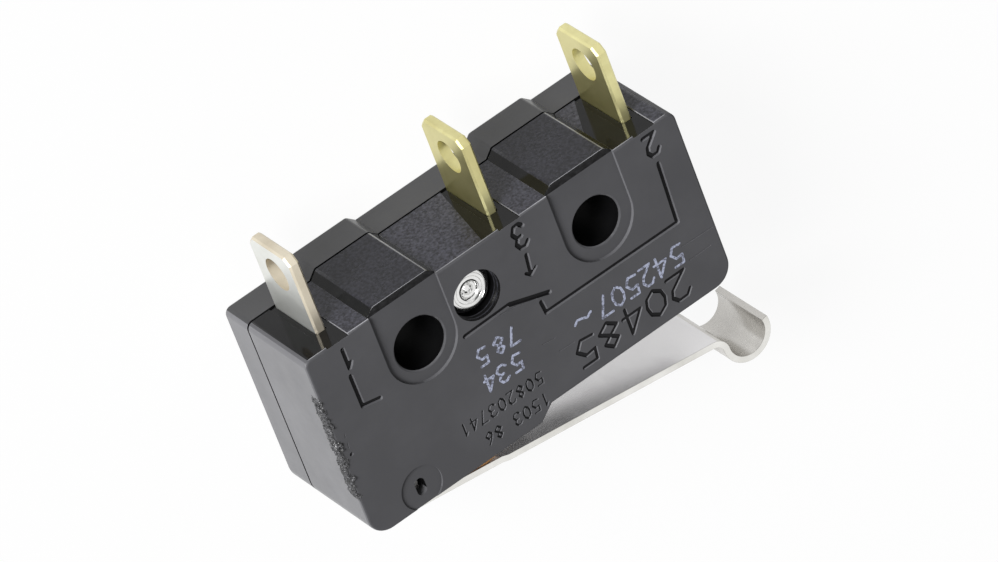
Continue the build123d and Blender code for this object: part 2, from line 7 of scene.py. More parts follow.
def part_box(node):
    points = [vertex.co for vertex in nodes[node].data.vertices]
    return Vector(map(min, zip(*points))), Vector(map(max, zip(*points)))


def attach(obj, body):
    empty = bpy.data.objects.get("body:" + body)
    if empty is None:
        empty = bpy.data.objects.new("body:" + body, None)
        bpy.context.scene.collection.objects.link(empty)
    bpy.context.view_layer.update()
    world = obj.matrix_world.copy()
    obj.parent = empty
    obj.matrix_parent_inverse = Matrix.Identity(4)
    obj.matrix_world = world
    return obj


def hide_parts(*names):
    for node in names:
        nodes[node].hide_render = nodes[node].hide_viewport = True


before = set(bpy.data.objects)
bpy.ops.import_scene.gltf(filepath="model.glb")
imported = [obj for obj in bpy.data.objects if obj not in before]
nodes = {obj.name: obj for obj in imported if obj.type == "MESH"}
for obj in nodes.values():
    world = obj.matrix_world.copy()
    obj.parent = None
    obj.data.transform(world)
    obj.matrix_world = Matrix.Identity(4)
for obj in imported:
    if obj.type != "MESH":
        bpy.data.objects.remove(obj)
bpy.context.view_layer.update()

# Lever micro switch lying on its back. Metres; +Z out of the marked front, +Y to the lever side.
mm = 0.001
weldReach = 0.0005 * mm
scene = bpy.context.scene
caseLow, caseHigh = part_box("front_case")
frontZ, hingeEndX, landFaceY = caseHigh.z, caseHigh.x, caseLow.y


# small helpers for node trees

def newMaterial(name):
    mat = bpy.data.materials.new(name)
    mat.use_nodes = True
    return mat, mat.node_tree, mat.node_tree.nodes["Principled BSDF"]


def addNode(tree, kind, place=(0, 0), **values):
    node = tree.nodes.new(kind)
    node.location = place
    for key, value in values.items():
        if key in node.inputs:
            node.inputs[key].default_value = value
        else:
            setattr(node, key, value)
    return node


def objectNoise(tree, scale, detail=4.0, roughness=0.55, stretch=(1, 1, 1), place=(-900, 0)):
    coords = addNode(tree, "ShaderNodeTexCoord", (place[0] - 400, place[1]))
    mapping = addNode(tree, "ShaderNodeMapping", (place[0] - 200, place[1]))
    mapping.inputs["Scale"].default_value = stretch
    tree.links.new(coords.outputs["Object"], mapping.inputs["Vector"])
    tex = addNode(tree, "ShaderNodeTexNoise", place, Scale=scale, Detail=detail, Roughness=roughness)
    tree.links.new(mapping.outputs["Vector"], tex.inputs["Vector"])
    return tex.outputs["Fac"]


def ramp(tree, factor, stops, place=(-600, 0)):
    node = addNode(tree, "ShaderNodeValToRGB", place)
    elements = node.color_ramp.elements
    while len(elements) < len(stops):
        elements.new(0.5)
    for element, (at, colour) in zip(elements, stops):
        element.position = at
        element.color = (*colour, 1) if len(colour) == 3 else (colour[0], colour[0], colour[0], 1)
    tree.links.new(factor, node.inputs["Fac"])
    return node.outputs["Color"]


def addBump(tree, shader, height, strength, distance, place=(-200, -400)):
    node = addNode(tree, "ShaderNodeBump", place, Strength=strength, Distance=distance)
    tree.links.new(height, node.inputs["Height"])
    tree.links.new(node.outputs["Normal"], shader.inputs["Normal"])


# small helpers for meshes

def linkMesh(name, data, body=None, standsFor=None):
    made = bpy.data.objects.new(name, data)
    scene.collection.objects.link(made)
    if standsFor:
        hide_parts(standsFor)
    if body:
        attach(made, body)
    return made


def meshFrom(bm, name, materials):
    bmesh.ops.recalc_face_normals(bm, faces=bm.faces[:])
    data = bpy.data.meshes.new(name)
    bm.to_mesh(data)
    bm.free()
    for mat in materials:
        data.materials.append(mat)
    return data


def smoothByAngle(bm, degrees=28):
    limit = math.radians(degrees)
    for face in bm.faces:
        face.smooth = True
    for edge in bm.edges:
        edge.smooth = len(edge.link_faces) == 2 and edge.calc_face_angle(0) < limit


def mergedCopy(name):
    # CAD meshes are loose triangles: merge them and join the flat ones
    bm = bmesh.new()
    bm.from_mesh(nodes[name].data)
    bmesh.ops.remove_doubles(bm, verts=bm.verts[:], dist=weldReach)
    bmesh.ops.dissolve_limit(bm, angle_limit=math.radians(0.3), verts=bm.verts[:], edges=bm.edges[:])
    return bm


def roundEdges(bm, picked, width, segments=2):
    # bevels the edges and gives back the new faces
    made = bmesh.ops.bevel(
        bm, geom=picked, offset=width, affect="EDGES", segments=segments, profile=0.5,
        clamp_overlap=True, material=-1,
    )
    return made["faces"]


def bevelSharp(bm, width, degrees, wanted, segments=2):
    # rounds the sharp edges whose middle passes the test
    limit = math.radians(degrees)
    picked = [
        edge for edge in bm.edges
        if len(edge.link_faces) == 2 and edge.calc_face_angle(0) > limit
        and wanted((edge.verts[0].co + edge.verts[1].co) / 2)
    ]
    return roundEdges(bm, picked, width, segments)


def finishedMesh(data, name, tweak=None):
    # applies the normal weighting, and a tweak of the modifiers first if there is one
    holder = linkMesh(name + "Draft", data)
    if tweak:
        tweak(holder)
    weighted = holder.modifiers.new("weightedNormals", "WEIGHTED_NORMAL")
    weighted.keep_sharp = True
    graph = bpy.context.evaluated_depsgraph_get()
    result = bpy.data.meshes.new_from_object(holder.evaluated_get(graph))
    result.name = name
    bpy.data.objects.remove(holder)
    return result


# black plastic of the case, one finish for each kind of surface of the mould; many are lighter or darker
# copies of one plastic that carry painted light, painted shade, painted highlights and painted reflections

# grain is the scale of the noise, relief its height in mm, tint the share of blue
caseLooks = {
    "caseFront": {
        "tones": (0.073, 0.085), "rough": (0.50, 0.60), "specular": 0.15,
        "grain": 9000, "relief": 0.0015, "tint": 1.07,
    },
    # partly real spark-eroded speckle, partly painted shade: the terminal side and land tops are darker
    # copies of the case plastic
    "caseSpeckledShade": {
        "tones": (0.012, 0.052), "rough": (0.18, 0.30), "specular": 0.22,
        "grain": 6800, "relief": 0.012, "tint": 1.30,
    },
    "caseLandTopShade": {
        "tones": (0.008, 0.027), "rough": (0.22, 0.34), "specular": 0.20,
        "grain": 6800, "relief": 0.010, "tint": 1.30,
    },
    # partly real polish, partly painted reflection: a darker, smoother copy of the case plastic; beside the
    # strips its dark tone stands for the blades' reflection
    "casePolishedReflection": {
        "tones": (0.004, 0.007), "rough": (0.07, 0.12), "specular": 0.16,
        "grain": 3000, "relief": 0.0003, "tint": 1.07,
    },
    # painted light: a lighter copy of the case plastic on the hinge end face, which the key light falls on
    "caseEndLit": {
        "tones": (0.105, 0.125), "rough": (0.28, 0.36), "specular": 0.5,
        "grain": 6000, "relief": 0.002, "tint": 1.07,
    },
    # painted highlight: a much lighter copy of the case plastic on rounded edges, land slopes and strip
    # walls, for their bright edge lines
    "caseEdgeHighlight": {
        "tones": (0.16, 0.30), "rough": (0.25, 0.35), "specular": 0.5,
        "grain": 5000, "relief": 0.002, "tint": 1.07,
    },
    # painted shade: a darker copy of the case plastic on the terminal side of the back half
    "coverSideShade": {
        "tones": (0.024, 0.030), "rough": (0.28, 0.36), "specular": 0.5,
        "grain": 7000, "relief": 0.003, "tint": 1.07,
    },
    # painted shade: a near-black copy of the case plastic for holes, walls inside the case, the parting
    # groove and pocket walls turned from the key light
    "caseBoreShade": {
        "tones": (0.003, 0.005), "rough": (0.30, 0.40), "specular": 0.08,
        "grain": 5000, "relief": 0.001, "tint": 1.07,
    },
    # painted shade: a dark copy of the case plastic on the slope under the land's front edge, turned away
    # from the key light
    "caseLipShade": {
        "tones": (0.003, 0.020), "rough": (0.25, 0.40), "specular": 0.08,
        "grain": 3800, "relief": 0.006, "tint": 1.07,
    },
    # painted light: a lighter copy of the case plastic for walls of marks and pockets turned towards the key
    # light
    "caseLit": {
        "tones": (0.10, 0.14), "rough": (0.35, 0.45), "specular": 0.3,
        "grain": 5000, "relief": 0.002, "tint": 1.07,
    },
    # painted shadow: the near-black floors and walls of the sunk marks stand for the key light's shadow in
    # the grooves
    "caseMarkShadow": {
        "tones": (0.008, 0.016), "rough": (0.35, 0.50), "specular": 0.08,
        "grain": 5000, "relief": 0.002, "tint": 1.07,
    },
    "flashCrumb": {
        "tones": (0.002, 0.075), "rough": (0.16, 0.5), "specular": 0.5,
        "grain": 5600, "relief": 0.08, "tint": 1.07,
    },
}
caseNoise = {"cloud": 260, "tonesAt": (0.38, 0.66), "dull": 900, "dullAt": (0.3, 0.7), "bump": 0.8}


def casePlastic(name):
    look = caseLooks[name]
    mat, tree, shader = newMaterial(name)
    low, high = look["tones"]
    lowAt, highAt = caseNoise["tonesAt"]
    speckled = high > 2 * low
    scale = look["grain"] if speckled else caseNoise["cloud"]
    cloud = objectNoise(tree, scale, 4, 0.6, place=(-1100, 300))
    stops = [(lowAt, (low, low, low * look["tint"])), (highAt, (high, high, high * look["tint"]))]
    tree.links.new(ramp(tree, cloud, stops, (-700, 300)), shader.inputs["Base Color"])
    rough = objectNoise(tree, caseNoise["dull"], 4, 0.6, place=(-1100, 0))
    stops = [(at, (value,)) for at, value in zip(caseNoise["dullAt"], look["rough"])]
    tree.links.new(ramp(tree, rough, stops, (-700, 0)), shader.inputs["Roughness"])
    shader.inputs["Specular IOR Level"].default_value = look["specular"]
    grain = objectNoise(tree, look["grain"], 3, 0.6, place=(-1100, -400))
    addBump(tree, shader, grain, caseNoise["bump"], look["relief"] * mm, place=(-400, -400))
    return mat


casePlastics = {name: casePlastic(name) for name in caseLooks}

# grain is how the streaks are stretched; a share below 1 of metal is dull plating
metalLooks = {
    "brassBlade": {
        "colour": (0.68, 0.63, 0.29), "darker": (0.60, 0.55, 0.23),
        "roughness": 0.30, "grain": (1, 8, 1), "metallic": 0.93,
    },
    "brassCut": {
        "colour": (0.74, 0.70, 0.36), "darker": (0.58, 0.53, 0.25),
        "roughness": 0.38, "grain": (1, 1, 6), "metallic": 0.85,
    },
    "silveredBlade": {
        "colour": (0.74, 0.75, 0.72), "darker": (0.67, 0.68, 0.64),
        "roughness": 0.32, "grain": (1, 8, 1), "metallic": 0.8,
    },
    "silveredCut": {
        "colour": (0.66, 0.60, 0.48), "darker": (0.54, 0.48, 0.37),
        "roughness": 0.38, "grain": (1, 1, 6), "metallic": 0.7,
    },
    "leverSteel": {
        "colour": (0.76, 0.75, 0.755), "darker": (0.745, 0.735, 0.74),
        "roughness": 0.22, "grain": (1, 10, 1), "metallic": 0.8,
    },
    "leverRoll": {
        "colour": (0.62, 0.605, 0.575), "darker": (0.54, 0.525, 0.50),
        "roughness": 0.26, "grain": (1, 1, 8), "metallic": 0.85,
    },
    "leverBurr": {
        "colour": (0.40, 0.39, 0.36), "darker": (0.26, 0.25, 0.23),
        "roughness": 0.36, "grain": (3, 3, 1), "metallic": 1.0,
    },
    "leverCut": {
        "colour": (0.80, 0.79, 0.76), "darker": (0.66, 0.65, 0.61),
        "roughness": 0.24, "grain": (5, 1, 1), "metallic": 1.0,
    },
    "rivetMetal": {
        "colour": (0.80, 0.80, 0.79), "darker": (0.66, 0.66, 0.65),
        "roughness": 0.16, "grain": (1, 1, 1), "metallic": 1.0,
    },
    "springStrip": {
        "colour": (0.72, 0.50, 0.30), "darker": (0.58, 0.38, 0.22),
        "roughness": 0.3, "grain": (8, 1, 1), "metallic": 1.0,
    },
    "contactSilver": {
        "colour": (0.85, 0.84, 0.82), "darker": (0.72, 0.71, 0.69),
        "roughness": 0.34, "grain": (1, 1, 1), "metallic": 1.0,
    },
}
metalNoise = {
    "blotch": 420,
    "tonesAt": (0.35, 0.6),
    "streak": 900,
    "streaksAt": (0.3, 0.7),
    "smoother": 0.02,
    "duller": 0.03,
    "bump": 0.05,
    "relief": 0.0006 * mm,
}


def rolledMetal(name):
    look = metalLooks[name]
    mat, tree, shader = newMaterial(name)
    shader.inputs["Metallic"].default_value = look["metallic"]
    blotch = objectNoise(tree, metalNoise["blotch"], 5, 0.6, place=(-1100, 300))
    stops = list(zip(metalNoise["tonesAt"], (look["darker"], look["colour"])))
    tree.links.new(ramp(tree, blotch, stops, (-700, 300)), shader.inputs["Base Color"])
    streak = objectNoise(tree, metalNoise["streak"], 4, 0.6, look["grain"], (-1100, 0))
    low = look["roughness"] - metalNoise["smoother"]
    high = look["roughness"] + metalNoise["duller"]
    stops = list(zip(metalNoise["streaksAt"], ((low,), (high,))))
    tree.links.new(ramp(tree, streak, stops, (-700, 0)), shader.inputs["Roughness"])
    addBump(tree, shader, streak, metalNoise["bump"], metalNoise["relief"], place=(-400, -300))
    return mat


metals = {name: rolledMetal(name) for name in metalLooks}

amberLook = {
    "deep": (0.50, 0.21, 0.035),
    "light": (0.70, 0.36, 0.09),
    "tonesAt": (0.3, 0.7),
    "cloud": 300,
    "roughness": 0.32,
    "grain": 6000,
    "bump": 0.2,
    "relief": 0.004 * mm,
}


def amberPlastic():
    mat, tree, shader = newMaterial("amberPlastic")
    cloud = objectNoise(tree, amberLook["cloud"], 4, 0.5)
    stops = list(zip(amberLook["tonesAt"], (amberLook["deep"], amberLook["light"])))
    tree.links.new(ramp(tree, cloud, stops), shader.inputs["Base Color"])
    shader.inputs["Roughness"].default_value = amberLook["roughness"]
    grain = objectNoise(tree, amberLook["grain"], 3, 0.6, place=(-900, -400))
    addBump(tree, shader, grain, amberLook["bump"], amberLook["relief"])
    return mat


amberMat = amberPlastic()

inkLook = {
    "worn": (0.11, 0.115, 0.15),
    "full": (0.40, 0.43, 0.56),
    "tonesAt": (0.40, 0.54),
    "patch": 9000,
    "roughness": 0.6,
}


def printInk():
    mat, tree, shader = newMaterial("printInk")
    patch = objectNoise(tree, inkLook["patch"], 3, 0.6)
    stops = list(zip(inkLook["tonesAt"], (inkLook["worn"], inkLook["full"])))
    tree.links.new(ramp(tree, patch, stops), shader.inputs["Base Color"])
    shader.inputs["Roughness"].default_value = inkLook["roughness"]
    return mat


inkMat = printInk()
print("finishes made")

# pieces inside the case keep their CAD meshes

insideFinish = {
    "no_contact": "contactSilver",
    "nc_contact": "contactSilver",
    "moving_contact": "contactSilver",
    "moving_blade": "springStrip",
    "snap_spring": "springStrip",
}
for name, finish in insideFinish.items():
    data = nodes[name].data
    data.materials.clear()
    data.materials.append(metals[finish])
print("inside pieces finished")

# front half: small edge rounding, mould finishes by surface with painted light, shade, highlights and
# reflection, sunk numbers and circuit lines

shell = {
    "landHeight": 0.38 * mm,
    "stripDepth": 0.08 * mm,
    "close": 0.02 * mm,
    "cutReach": 0.0001 * mm,
    "edgeRound": 0.04 * mm,
    "edgeSharp": 33,
    "edgeRoundDepth": 0.19 * mm,
    "edgeRoundSide": 0.12 * mm,
    "strips": (8.21 * mm, -0.95 * mm, -8.22 * mm),
    "stripHalf": 0.57 * mm,
    "reflectionReach": (1.2 * mm, 0.86 * mm, 2.2 * mm),
    "landEdgeRound": 0.11 * mm,
    "landEdgeLeast": 1.0 * mm,
    "endBand": 0.4 * mm,
    "boreEnds": 1.0 * mm,
    "boreSides": (0.3 * mm, 0.7 * mm),
    "lipBand": 0.6 * mm,
    "pocketEnds": (0.3 * mm, 0.4 * mm),
    "pocketSides": (0.15 * mm, 0.3 * mm),
    "pocketDepth": 0.2 * mm,
    "rivetClear": 0.05 * mm,
    "litWay": (0.8, -0.6),
    "litLeast": 0.3,
    "names": [
        "caseFront", "caseSpeckledShade", "caseLandTopShade", "casePolishedReflection", "caseEndLit",
        "caseEdgeHighlight", "caseBoreShade", "caseLipShade", "caseMarkShadow", "caseLit",
    ],
}
# shares of an axis in the normal of a face, the limits between the finishes
lean = {
    "flat": 0.97,
    "nearlyFlat": 0.9,
    "wall": 0.85,
    "steep": 0.66,
    "end": 0.6,
    "upright": 0.5,
    "outward": 0.3,
    "front": 0.25,
    "back": 0.2,
    "lip": 0.15,
}
recess = {
    "radius": 1.17 * mm,
    "depths": (0.20 * mm, 0.44 * mm),
    "height": 0.05 * mm,
    "width": 0.04 * mm,
    "intoWall": 0.01 * mm,
    "steps": 64,
}
terminalFaceY = landFaceY + shell["landHeight"]
roundedSideY = terminalFaceY + shell["edgeRoundSide"]
roundedFrontZ = frontZ - shell["edgeRoundDepth"]
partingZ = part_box("back_cover")[1].z
rivetLow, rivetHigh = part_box("rivet")
rivetAxis = Vector(((rivetLow.x + rivetHigh.x) / 2, (rivetLow.y + rivetHigh.y) / 2, 0))


def inBladeReflection(c):
    # the terminal face is shiny and smooth beside each strip, in a zone wider towards the front whose dark
    # tone is a painted reflection of the blade
    if c.x > shell["strips"][0] + shell["stripHalf"]:
        return True
    share = (c.z - partingZ) / (frontZ - partingZ)
    return any(
        0 < c.x - strip - shell["stripHalf"] < reach * share
        for strip, reach in zip(shell["strips"], shell["reflectionReach"])
    )


def isPocketWall(c):
    # the low walls of the sunk fields, the disc and the rims of the holes, which take painted light or
    # painted shade by their turn to the key light
    farEnd, hingeEnd = shell["pocketEnds"]
    terminalSide, leverSide = shell["pocketSides"]
    along = caseLow.x + farEnd < c.x < hingeEndX - hingeEnd
    across = terminalFaceY + terminalSide < c.y < caseHigh.y - leverSide
    fromRivet = (Vector((c.x, c.y, 0)) - rivetAxis).length
    clear = fromRivet > recess["radius"] + shell["rivetClear"]
    return along and across and clear and c.z > frontZ - shell["pocketDepth"]


def isBoreWall(n, c):
    # the holes through both halves and the walls inside the case, which take a painted shade
    terminalSide, leverSide = shell["boreSides"]
    along = caseLow.x + shell["boreEnds"] < c.x < hingeEndX - shell["boreEnds"]
    across = terminalFaceY + terminalSide < c.y < caseHigh.y - leverSide
    return along and across and abs(n.z) < lean["upright"]


def isHingeEnd(n, c):
    return n.x > lean["end"] and c.x > hingeEndX - shell["endBand"]


def terminalSideZone(n, c):
    # flat faces of the terminal side by their level, in darker copies with painted shade or painted
    # reflection, None for all others
    close = shell["close"]
    if n.y > -lean["flat"]:
        return None
    if abs(c.y - terminalFaceY) < close:
        return "casePolishedReflection" if inBladeReflection(c) else "caseSpeckledShade"
    if abs(c.y - landFaceY) < close:
        return "caseLandTopShade"
    if abs(c.y - terminalFaceY - shell["stripDepth"]) < close:
        return "casePolishedReflection"
    return None


def landSlopeZone(n):
    if n.z > lean["front"]:
        return "caseEdgeHighlight"
    if abs(n.x) > lean["steep"]:
        return "casePolishedReflection"
    if n.x < -lean["back"]:
        return "caseEdgeHighlight"
    return "caseLandTopShade"


def caseZone(face):
    n, c = face.normal, face.calc_center_median()
    close = shell["close"]
    if isHingeEnd(n, c):
        return "caseEndLit"
    if isBoreWall(n, c) and c.z < roundedFrontZ:
        return "caseBoreShade"
    # painted shade on the slope under the land's front edge
    if n.z > lean["nearlyFlat"] and n.y > lean["lip"] and c.y < terminalFaceY + shell["lipBand"]:
        return "caseLipShade"
    if n.x > lean["nearlyFlat"] and c.y < terminalFaceY + shell["stripDepth"] + close:
        return "caseEdgeHighlight"
    flatZone = terminalSideZone(n, c)
    if flatZone:
        return flatZone
    if c.y < terminalFaceY + close and n.y < -lean["outward"]:
        return landSlopeZone(n)
    return "caseFront"


# what is sunk into the front: points, corners and number sizes are X and Y in mm
marks = {
    "above": 0.02 * mm,
    "taper": 0.7,
    "lineWidth": 0.25 * mm,
    "lineDepth": 0.10 * mm,
    "numberWidth": 0.25 * mm,
    "numberDepth": 0.10 * mm,
    "lines": [
        [(-8.30, -0.72), (-8.17, 2.38), (-1.06, 2.34)],
        [(-1.06, 2.34), (-1.00, 1.74)],
        [(2.80, 0.94), (0.42, 0.88), (-1.52, 1.54)],
        [(8.25, -0.74), (8.24, 0.88), (7.38, 1.06)],
        [(-1.15, -0.75), (-1.04, 0.22)],
    ],
    "fineLines": [
        [(-1.36, 0.02), (-1.04, 0.26), (-0.82, 0.04)],
    ],
    "fineWidth": 0.17 * mm,
    "numbers": [
        ("3", (-1.46, -2.34), (0.58, 1.16)),
        ("2", (-8.61, -2.28), (0.6, 1.05)),
        ("1", (7.87, -2.13), (0.5, 0.98)),
    ],
    "bigDigits": "20485",
    "bigStarts": (-7.66, -6.42, -5.16, -3.90, -2.64),
    "bigBase": 4.64,
    "bigSize": (0.96, 1.3),
    "bigWidth": 0.21 * mm,
    "smallRows": [("508203741", (0.20, 4.72)), ("1503 86", (0.28, 5.84))],
    "smallSize": (0.33, 0.62),
    "smallStep": 0.5,
    "smallWidth": 0.11 * mm,
    "smallDepth": 0.06 * mm,
    "dots": [(8.15, -2.12), (8.25, -0.78), (-8.30, -0.78), (9.53, 2.64)],
    "dotWidth": 0.2 * mm,
    "dotDepth": 0.16 * mm,
    "scratches": [
        [(0.95, 1.06), (0.2, 1.14), (-0.85, 1.46)],
        [(9.49, 1.55), (9.51, 1.75)],
        [(9.51, 2.03), (9.54, 2.27)],
        [(-7.96, 3.59), (-9.73, 3.66)],
        [(-8.09, 4.42), (-9.22, 4.40)],
        [(-0.35, 3.64), (-0.97, 3.72)],
        [(-0.96, 4.44), (-1.76, 4.48)],
    ],
    "scratchWidth": 0.07 * mm,
    "scratchDepth": 0.02 * mm,
}
# strokes of each number in a field of 1 by 1
numberStrokes = {
    "0": [[(0.5, 0), (0.1, 0.2), (0, 0.5), (0.1, 0.8), (0.5, 1), (0.9, 0.8), (1, 0.5), (0.9, 0.2), (0.5, 0)]],
    "1": [[(0.25, 0.78), (0.55, 1), (0.55, 0)]],
    "2": [[(0, 0.78), (0.22, 0.97), (0.7, 0.98), (0.95, 0.76), (0.85, 0.5), (0, 0), (1, 0)]],
    "3": [
        [(0, 0.85), (0.3, 1), (0.72, 0.98), (0.95, 0.76), (0.72, 0.54), (0.4, 0.52)],
        [(0.72, 0.54), (1, 0.28), (0.74, 0.02), (0.3, 0), (0, 0.15)],
    ],
    "4": [[(0.75, 0), (0.75, 1), (0, 0.3), (1, 0.3)]],
    "5": [[(0.92, 1), (0.15, 1), (0.08, 0.58), (0.6, 0.64), (0.98, 0.34), (0.65, 0), (0, 0.06)]],
    "6": [[(0.8, 1), (0.25, 0.6), (0, 0.25), (0.4, 0), (0.95, 0.25), (0.6, 0.55), (0.1, 0.4)]],
    "7": [[(0, 1), (1, 1), (0.35, 0)]],
    "8": [
        [(0.5, 0.53), (0.12, 0.75), (0.5, 1), (0.88, 0.75), (0.5, 0.53)],
        [(0.5, 0.53), (0, 0.27), (0.5, 0), (1, 0.27), (0.5, 0.53)],
    ],
    "~": [[(0, 0.4), (0.25, 0.6), (0.55, 0.45), (0.8, 0.4), (1, 0.6)]],
}


def numberLines(digit, corner, size):
    return [
        [(corner[0] + x * size[0], corner[1] + y * size[1]) for x, y in stroke]
        for stroke in numberStrokes[digit]
    ]


def addStroke(bm, line, width, lowZ, highZ, taper, stagger=0.0):
    # boxes along the line and cones at its points, narrower towards lowZ; stagger keeps their tops apart
    pointZ = highZ
    for a, b in zip(line, line[1:]):
        highZ += stagger
        a, b = Vector(a) * mm, Vector(b) * mm
        way = b - a
        place = Matrix.Translation(((a.x + b.x) / 2, (a.y + b.y) / 2, (lowZ + highZ) / 2))
        turn = Matrix.Rotation(math.atan2(way.y, way.x), 4, "Z")
        grow = Matrix.Diagonal((way.length, width, highZ - lowZ, 1))
        made = bmesh.ops.create_cube(bm, size=1, matrix=place @ turn @ grow)["verts"]
        low = [v for v in made if v.co.z < (lowZ + highZ) / 2]
        centre = place @ turn
        bmesh.ops.scale(bm, verts=low, vec=(1, taper, 1), space=centre.inverted())
    for x, y in line:
        bmesh.ops.create_cone(
            bm, cap_ends=True, segments=12, radius1=width / 2 * taper, radius2=width / 2, depth=pointZ - lowZ,
            matrix=Matrix.Translation((x * mm, y * mm, (lowZ + pointZ) / 2)),
        )


def markGroups():
    # lines, width and depth of everything that is sunk
    groups = [
        (marks["scratches"], marks["scratchWidth"], marks["scratchDepth"]),
        (marks["lines"], marks["lineWidth"], marks["lineDepth"]),
        (marks["fineLines"], marks["fineWidth"], marks["numberDepth"]),
        ([[dot] for dot in marks["dots"]], marks["dotWidth"], marks["dotDepth"]),
    ]
    for digit, start in zip(marks["bigDigits"], marks["bigStarts"]):
        lines = numberLines(digit, (start, marks["bigBase"]), marks["bigSize"])
        groups.append((lines, marks["bigWidth"], marks["smallDepth"]))
    for digits, (startX, baseY) in marks["smallRows"]:
        for place, digit in enumerate(digits):
            if digit != " ":
                lines = numberLines(digit, (startX + place * marks["smallStep"], baseY), marks["smallSize"])
                groups.append((lines, marks["smallWidth"], marks["smallDepth"]))
    for digit, corner, size in marks["numbers"]:
        groups.append((numberLines(digit, corner, size), marks["numberWidth"], marks["numberDepth"]))
    return groups


def marksCutter():
    # the cut faces take the cutter's finish, a painted shadow on the sunk marks, but for the scratches
    bm = bmesh.new()
    dark = shell["names"].index("caseMarkShadow")
    for lines, width, depth in markGroups():
        known = set(bm.faces)
        for line in lines:
            addStroke(bm, line, width, frontZ - depth, frontZ + marks["above"], marks["taper"])
        if lines is not marks["scratches"]:
            for face in bm.faces:
                if face not in known:
                    face.material_index = dark
    return bm


def splitTerminalFace(bm):
    # cuts the terminal face where the zone of painted blade reflection beside a strip ends; the first zone
    # reaches the end
    for strip, reach in list(zip(shell["strips"], shell["reflectionReach"]))[1:]:
        flat = [
            face for face in bm.faces
            if face.normal.y < -lean["flat"]
            and abs(face.calc_center_median().y - terminalFaceY) < shell["close"]
        ]
        edges = {edge for face in flat for edge in face.edges}
        verts = {v for edge in edges for v in edge.verts}
        bmesh.ops.bisect_plane(
            bm, geom=flat + list(edges) + list(verts), dist=shell["cutReach"],
            plane_co=(strip + shell["stripHalf"], 0, partingZ), plane_no=(frontZ - partingZ, 0, -reach),
        )


def softenLands(bm):
    # rounds the edges of the lands that face the far end and gives back the new faces
    picked = [
        edge for edge in bm.edges
        if len(edge.link_faces) == 2 and all(abs(v.co.y - landFaceY) < shell["close"] for v in edge.verts)
        and any(face.normal.x < -lean["outward"] for face in edge.link_faces)
        and abs(edge.verts[0].co.z - edge.verts[1].co.z) > shell["landEdgeLeast"]
    ]
    return roundEdges(bm, picked, shell["landEdgeRound"])


def isOutside(middle):
    return middle.y < roundedSideY or middle.z > roundedFrontZ


def finishZones(bm, softened, rounded):
    zones = {face: caseZone(face) for face in bm.faces}
    # rounded and softened edges take the painted highlight
    for face in rounded:
        if face.calc_center_median().y < roundedSideY and face.normal.y < -lean["outward"]:
            zones[face] = "caseEdgeHighlight"
    for face in softened:
        if face.is_valid:
            zones[face] = "caseEdgeHighlight"
    for face, zone in zones.items():
        face.material_index = shell["names"].index(zone)


def withMarks(data, materials):
    cutter = linkMesh("marksCutter", meshFrom(marksCutter(), "marksCutter", materials))
    cutter.hide_render = True

    def addCut(holder):
        cut = holder.modifiers.new("sunkMarks", "BOOLEAN")
        cut.operation = "DIFFERENCE"
        cut.solver = "EXACT"
        cut.use_self = True
        cut.object = cutter

    marked = finishedMesh(data, "frontShellCut", addCut)
    bpy.data.objects.remove(cutter)
    return marked


def finishWalls(bm):
    # walls of marks and pockets are lighter or darker as they turn to the light or away from it
    front, dark, lit, shaded = [
        shell["names"].index(name) for name in ("caseFront", "caseMarkShadow", "caseLit", "caseBoreShade")
    ]
    wayX, wayY = shell["litWay"]
    for face in bm.faces:
        n, c = face.normal, face.calc_center_median()
        towards = n.x * wayX + n.y * wayY
        turned = abs(towards) > shell["litLeast"]
        if face.material_index == dark and n.z < lean["nearlyFlat"] and turned and towards > 0:
            face.material_index = lit
        elif face.material_index == front and abs(n.z) < lean["wall"] and turned and isPocketWall(c):
            face.material_index = lit if towards > 0 else shaded


def buildFrontCase():
    bm = mergedCopy("front_case")
    splitTerminalFace(bm)
    softened = softenLands(bm)
    rounded = bevelSharp(bm, shell["edgeRound"], shell["edgeSharp"], isOutside)
    finishZones(bm, softened, rounded)
    materials = [casePlastics[name] for name in shell["names"]]
    marked = withMarks(meshFrom(bm, "frontShell", materials), materials)
    bm = bmesh.new()
    bm.from_mesh(marked)
    finishWalls(bm)
    smoothByAngle(bm)
    result = finishedMesh(meshFrom(bm, "frontCase", materials), "frontCase")
    linkMesh("frontCase", result, "case", "front_case")
    print("front half marked:", len(result.polygons), "faces")


buildFrontCase()

# back half

cover = {
    "names": ["caseFront", "coverSideShade", "caseEndLit", "caseBoreShade"],
    "grooveDepth": 0.115 * mm,
    "sideBand": 0.1 * mm,
}


def coverZone(face):
    n, c = face.normal, face.calc_center_median()
    # painted shade in the parting groove and the holes
    if c.z > partingZ - cover["grooveDepth"] or isBoreWall(n, c):
        return "caseBoreShade"
    # painted light on the hinge end
    if isHingeEnd(n, c):
        return "caseEndLit"
    # painted shade on the terminal side
    if n.y < -lean["outward"] and c.y < terminalFaceY + cover["sideBand"]:
        return "coverSideShade"
    return "caseFront"


def buildBackCover():
    bm = mergedCopy("back_cover")
    for face in bm.faces:
        face.material_index = cover["names"].index(coverZone(face))
    smoothByAngle(bm)
    data = meshFrom(bm, "backCover", [casePlastics[name] for name in cover["names"]])
    linkMesh("backCover", finishedMesh(data, "backCover"), "case", "back_cover")


buildBackCover()
print("back half made")

# rings on the wall of the rivet's recess


